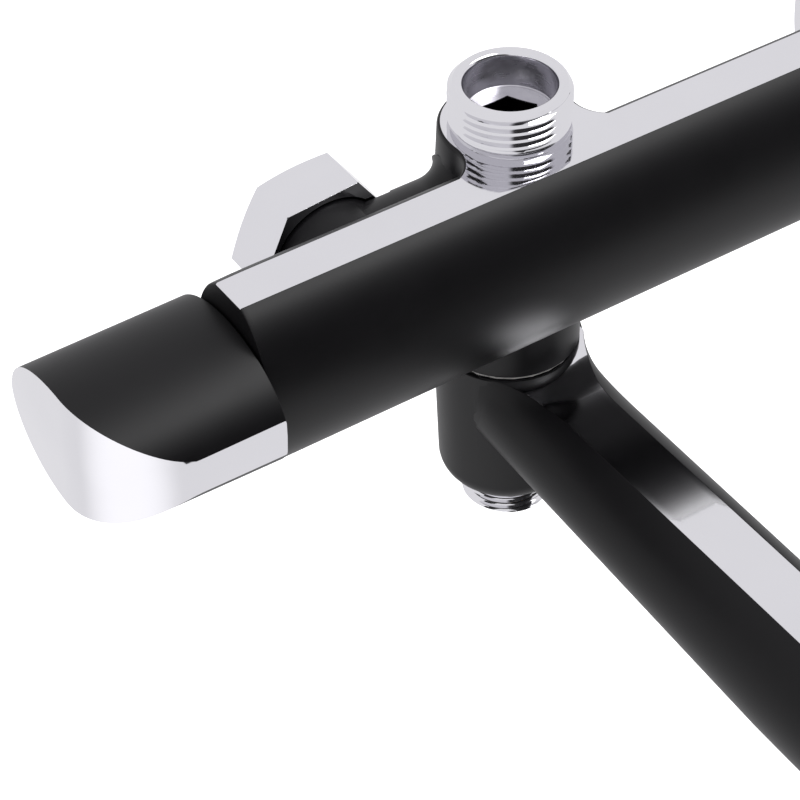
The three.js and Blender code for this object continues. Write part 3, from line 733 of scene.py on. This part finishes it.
# ---- Spout ----
# A hollow brass casting: a hub that turns on the body's spigot, and a long arm whose chromed top is
# flat, flares out round the hub and is swept down round the tip. The rest is lacquered black.
SPOUT_REACH = riser_y - spout_low.y - 0.25
SPOUT_TURN = math.radians(0.75)
SPOUT_SWEEP = 19
HUB_RADIUS = 16.7
HUB_FOOT_RADIUS = 15.8
HUB_ROUNDING = 5.4
FLAT_HALF_WIDTH = 6.35
FLAT_SHIFT = 0.5
GROWTH_MIDDLE = 60
GROWTH_END = 108
spout_flat = spout_high.z - 1.75
hub_bottom = stem_low.z + 8.3


def along_spout(along, across, height):
    """A point given along the arm from the hub's axis, across it and up."""
    x = riser_x + along * math.sin(SPOUT_TURN) + across * math.cos(SPOUT_TURN)
    y = riser_y - along * math.cos(SPOUT_TURN) + across * math.sin(SPOUT_TURN)
    return (x, y, height)


def flat_half_width(along):
    """Half the chromed flat's width: even along the arm, flaring to the hub's circle at the hub."""
    fillet = 36
    centre = math.sqrt((HUB_RADIUS + fillet) ** 2 - (FLAT_HALF_WIDTH + fillet) ** 2)
    touch = centre * HUB_RADIUS / (HUB_RADIUS + fillet)
    if along >= centre:
        return FLAT_HALF_WIDTH
    if along >= touch:
        return FLAT_HALF_WIDTH + fillet - math.sqrt(fillet ** 2 - (centre - along) ** 2)
    return math.sqrt(HUB_RADIUS ** 2 - along ** 2)


def sweep_up(along, across, below_flat):
    """How far the arm's top rises round the hub to meet the hub's own top."""
    away = math.hypot(along, across) - HUB_RADIUS
    share = min(1, max(0, 1 - away / 8))
    return (spout_high.z - spout_flat) * share * share * (3 - 2 * share) * max(0, 1 - below_flat / 3)


def spout_arm():
    reach = SPOUT_REACH
    turn_at = reach - SPOUT_SWEEP
    stations = [i * 1.5 for i in range(24)]
    stations += [36 + (turn_at - 36) * i / 14 for i in range(15)]
    stations += [reach - SPOUT_SWEEP * (1 - math.sin(math.pi / 2 * i / 28)) for i in range(1, 29)]
    rings = []
    for along in stations:
        share = (min(along, GROWTH_END) - GROWTH_MIDDLE) / 100
        half_wide = 15.0 + 0.8 * share
        lower = 13.9 + 4.48 * share
        width = min(flat_half_width(along), half_wide * 0.97)
        depth = lower * math.sqrt(1 - ((5.64 + 1.6 * share) / half_wide) ** 2)
        upper = depth / math.sqrt(1 - (width / half_wide) ** 2)
        past_turn = max(0, along - turn_at)
        drop = SPOUT_SWEEP - math.sqrt(max(0, SPOUT_SWEEP ** 2 - past_turn ** 2))
        shift = FLAT_SHIFT * min(1, along / 20)
        ring = []
        for across, up in oval(half_wide, upper, lower, depth - drop, edge=0.08):
            below_flat = depth - drop - up
            height = spout_flat - depth + up + sweep_up(along, across, below_flat)
            ring.append(along_spout(along, across + shift * max(0, 1 - below_flat / 7), height))
        rings.append(ring)
    return skin("spout_visible", rings, casting_finishes, oval_bands(), (LACQUERED, CHROMED))


def hub():
    top = spout_high.z - 0.06
    profile = [(0.01, top), (HUB_RADIUS - 0.2, top), (HUB_RADIUS, top - 0.2)]
    for i in range(13):
        turn = math.pi / 2 * i / 12
        radius = HUB_FOOT_RADIUS - HUB_ROUNDING * (1 - math.cos(turn))
        profile.append((radius, hub_bottom + HUB_ROUNDING * (1 - math.sin(turn))))
    profile.append((0.01, hub_bottom))
    return turned("hub", "Z", on_riser, profile, casting_finishes)


aerator_low, aerator_high = in_mm("aerator_housing")
aerator_x = (aerator_low.x + aerator_high.x) / 2
aerator_y = (aerator_low.y + aerator_high.y) / 2
on_aerator = (aerator_x, aerator_y, 0)
spout = combine(spout_arm(), "UNION", hub())
combine(
    spout, "DIFFERENCE",
    bore("Z", on_riser, SPIGOT_RADIUS + 0.3, casting_low.z - 0.5, spout_high.z + 1),
    bore("Z", on_riser, 9.8, hub_bottom - 1, casting_low.z),
    bore("Z", on_riser, 12.2, hub_bottom - 1, hub_bottom + 1.7),
    bore("Z", on_aerator, 12.3, -90, aerator_high.z + 3.4),
)
mounted(spout, "spout_arm", "black_lacquer", "spout")

# ---- Outlet stem ----
# A chromed stem screwed up into the spigot, whose collar keeps the spout's hub on. Its lower end has a
# G1/2 thread for a shower hose.
def outlet_stem():
    crest, root = 10.48, 9.3
    low, collar_low = stem_low.z, hub_bottom + 0.1
    rows = threaded_rows(crest, root, 1.814, -collar_low, -low, 0.4)
    rows = [[(radius, -turn, -height) for radius, turn, height in ring] for ring in rows]
    below = [
        (root, collar_low), (11.7, collar_low), (11.9, collar_low + 0.2), (11.9, collar_low + 1.3),
        (9.5, collar_low + 1.3), (9.5, stem_high.z), (7.2, stem_high.z),
    ]
    above = [(root, low), (7.6, low), (7.2, low + 0.4)]
    return threaded("outlet", on_riser, rows, above, below, (chrome,))


stem = outlet_stem()
mounted(stem, "faucet_body", "chrome", "outlet_stem", crease=40)


# ---- Aerator ----
# A chromed sleeve with a thin lip, screwed up into the spout's tip round a white plastic jet plate.
def aerator_sleeve():
    low, high = aerator_low.z, aerator_high.z
    outside, inside, lip = 12, 10.4, 9.6
    profile = [
        (lip, low + 0.2), (lip + 0.2, low), (outside - 0.8, low), (outside - 0.2, low + 0.3),
        (outside, low + 0.8),
        (outside, high - 0.3), (outside - 0.3, high), (inside, high), (inside, low + 1.6), (lip, low + 1.6),
    ]
    return turned("aerator_sleeve", "Z", on_aerator, profile, (chrome,), looped=True)


mounted(aerator_sleeve(), "spout_arm", "chrome", "aerator_housing")


# ---- Pieces inside ----
# The seals, cartridges, valves and screws keep the frame's own shapes and get their real finishes:
# soft black rubber, moulded plastics, bare turned brass and plated steel.
def rubber():
    finish = Finish("black rubber", Specular_IOR_Level=0.3)
    cloud = finish.noise(2, 3)
    grain = finish.noise(0.15, 2)
    finish.set("Base Color", finish.blend(cloud, (0.010, 0.010, 0.011), (0.022, 0.021, 0.021)))
    finish.set("Roughness", 0.62 + 0.2 * grain)
    finish.bumps(grain, 0.03, 0.6)
    return finish.material


def moulded(name, dark, light):
    finish = Finish(name)
    cloud = finish.noise(6, 2)
    grain = finish.noise(0.25, 2)
    finish.set("Base Color", finish.blend(cloud, dark, light))
    finish.set("Roughness", 0.38 + 0.16 * grain)
    finish.bumps(grain, 0.02, 0.4)
    return finish.material


def plated_steel():
    finish = Finish("plated steel", Metallic=1)
    cloud = finish.noise(1.5, 3)
    finish.set("Base Color", finish.blend(cloud, (0.42, 0.42, 0.43), (0.56, 0.56, 0.57)))
    finish.set("Roughness", 0.24 + 0.2 * cloud)
    finish.bumps(cloud, 0.01, 0.4)
    return finish.material


soft_rubber = rubber()
white_plastic = moulded("white plastic", (0.62, 0.61, 0.57), (0.70, 0.69, 0.66))
grey_plastic = moulded("grey plastic", (0.16, 0.17, 0.18), (0.21, 0.22, 0.23))
steel = plated_steel()
inside_finishes = {
    "black_lacquer": lacquer, "chrome": chrome, "brass": brass, "steel": steel, "rubber": soft_rubber,
    "white_plastic": white_plastic, "cartridge_plastic": grey_plastic,
}
for part in frame["record"]["subparts"]:
    mesh = frame["nodes"][part["node"]].data
    mesh.materials.clear()
    mesh.materials.append(inside_finishes[part["material_slot"]])

# ---- Studio ----
# A pale floor far below the faucet, so that it catches no hard shadow. The surround is bright, with a
# dark panel level with the faucet in front of it and a brighter patch low on the left, both of which
# the chrome and the lacquer mirror. One broad soft light hangs overhead.
floor_mesh = bpy.data.meshes.new("floor")
half = 6
corners = [(-half, -half, 0), (half, -half, 0), (half, half, 0), (-half, half, 0)]
floor_mesh.from_pydata(corners, [], [(0, 1, 2, 3)])
floor = bpy.data.objects.new("floor", floor_mesh)
floor.location.z = cad_low.z - 0.35
bpy.context.scene.collection.objects.link(floor)
pale = Finish("pale floor")
cloud = pale.noise(400, 2)
pale.set("Base Color", pale.blend(cloud, (0.90, 0.90, 0.90), (0.93, 0.93, 0.93)))
pale.set("Roughness", 0.7 + 0.1 * cloud)
pale.shader.inputs["Emission Color"].default_value = (1, 1, 1, 1)
pale.shader.inputs["Emission Strength"].default_value = 0.5
floor_mesh.materials.append(pale.material)
floor.visible_glossy = False

class Surround(Finish):
    """The studio's walls, whose brightness depends on the direction looked in."""

    def __init__(self, world):
        world.use_nodes = True
        self.tree = world.node_tree
        self.shader = self.tree.nodes["Background"]
        self.place = self.node("ShaderNodeTexCoord", output="Generated")

    def towards(self, direction):
        """The cosine of the angle to a direction."""
        return self.node("ShaderNodeVectorMath", {"operation": "DOT_PRODUCT"}, {
            0: self.place, 1: Vector(direction).normalized(),
        }, output="Value")

    def step(self, value, start, end):
        """Rises smoothly from 0 to 1 as the value goes from start to end."""
        return self.node("ShaderNodeMapRange", {"interpolation_type": "SMOOTHSTEP"}, {
            "Value": value, "From Min": start, "From Max": end,
        })


world = bpy.data.worlds.new("studio")
bpy.context.scene.world = world
walls = Surround(world)
up = walls.towards((0, 0, 1))
level_card = walls.step(up, -0.62, -0.3) * (1 - walls.step(up, 0.4, 0.72))
dark_card = level_card * walls.step(walls.towards((0.17, -0.985, 0)), 0.66, 0.80)
glow = walls.step(walls.towards((-0.62, -0.30, -0.68)), 0.72, 1)
walls.set("Color", (0.985, 0.98, 1, 1))
walls.set("Strength", 0.92 * (1 - 0.95 * dark_card) + 0.4 * glow)


def soft_light(name, place, aim, width, height, power):
    """A rectangular soft light at a place, turned to an aim, both in metres."""
    lamp = bpy.data.lights.new(name, "AREA")
    lamp.shape = "RECTANGLE"
    lamp.size = width
    lamp.size_y = height
    lamp.energy = power
    made = bpy.data.objects.new(name, lamp)
    made.location = place
    made.rotation_euler = (Vector(aim) - Vector(place)).to_track_quat("-Z", "Y").to_euler()
    bpy.context.scene.collection.objects.link(made)
    return made


soft_light("overhead", (0.45, -0.27, 1.05), (0, -0.05, 0), 0.9, 0.5, 9)
bpy.context.scene.view_settings.view_transform = "Standard"
